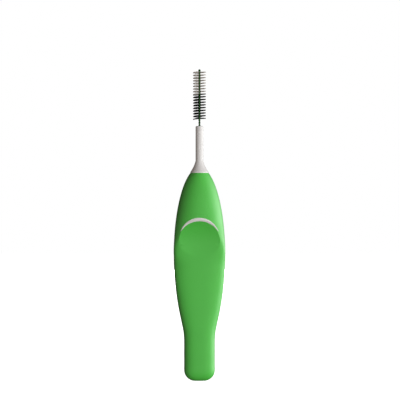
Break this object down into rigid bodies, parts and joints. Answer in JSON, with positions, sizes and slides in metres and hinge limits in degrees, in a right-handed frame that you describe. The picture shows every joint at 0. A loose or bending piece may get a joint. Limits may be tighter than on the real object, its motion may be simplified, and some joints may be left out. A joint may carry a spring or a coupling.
{
  "type": "interdental brush",
  "caption": "Straight hand-held interdental brush: a twisted-wire brush head on a slim white neck, with a flat oval soft green grip scooped out for the thumb.",
  "frame": {"origin": "middle of the flat end of the grip's tail", "axes": "+Z along the brush from the tail to the wire's tip, +X to the right of the face that looks along -Y"},
  "size_m": [0.012, 0.0074, 0.072],
  "materials": {
    "soft_green": "soft matte moulded elastomer",
    "white_plastic": "smooth satin moulded plastic",
    "coated_wire": "steel wire with a thin dark green plastic coat",
    "black_filament": "thin smooth nylon filament",
    "white_filament": "thin smooth translucent nylon filament"
  },
  "bodies": {
    "root": {"grip": "soft_green", "core": "white_plastic", "wire": "coated_wire", "black_filaments_01": "black_filament", "black_filaments_02": "black_filament", "black_filaments_03": "black_filament", "black_filaments_04": "black_filament", "black_filaments_05": "black_filament", "black_filaments_06": "black_filament", "black_filaments_07": "black_filament", "black_filaments_08": "black_filament", "black_filaments_09": "black_filament", "white_filaments_01": "white_filament", "white_filaments_02": "white_filament", "white_filaments_03": "white_filament", "white_filaments_04": "white_filament", "white_filaments_05": "white_filament", "white_filaments_06": "white_filament", "white_filaments_07": "white_filament", "white_filaments_08": "white_filament", "white_filaments_09": "white_filament"}
  },
  "joints": []
}
